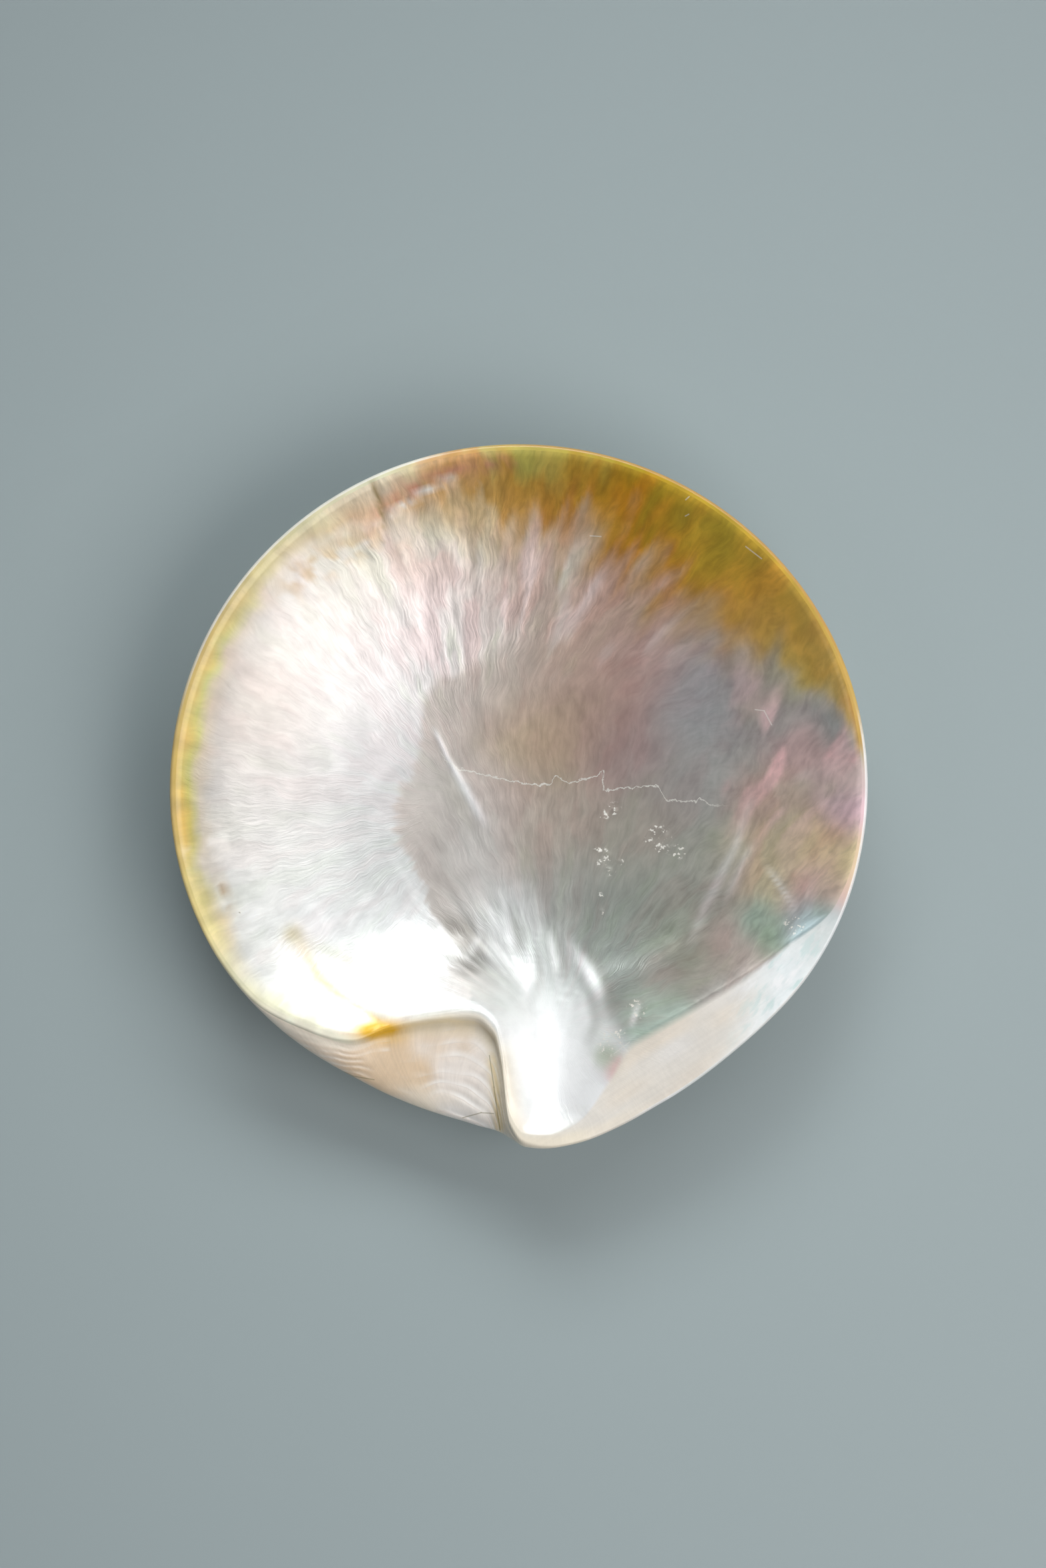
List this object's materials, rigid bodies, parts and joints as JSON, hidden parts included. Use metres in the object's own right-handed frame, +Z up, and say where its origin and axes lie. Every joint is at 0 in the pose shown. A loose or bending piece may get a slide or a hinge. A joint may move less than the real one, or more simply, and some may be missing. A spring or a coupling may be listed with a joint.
{
  "type": "pearl oyster shell",
  "caption": "Polished valve of a pearl oyster: a shallow round pearly dish with a thin golden margin, a hinge plate, a beak and a notch beside it.",
  "frame": {"origin": "centre of the bounding box in plan, on the plane that the shell rests on", "axes": "+Z up out of the hollow, +Y from the beak towards the opposite margin, +X to the right with the beak nearest and the hollow up"},
  "size_m": [0.1648, 0.1666, 0.028],
  "materials": {
    "nacre": "polished mother of pearl, with an iridescent pink, green and grey lustre and an olive-gold band along the margin"
  },
  "bodies": {
    "root": {"shell": "nacre"}
  },
  "joints": []
}
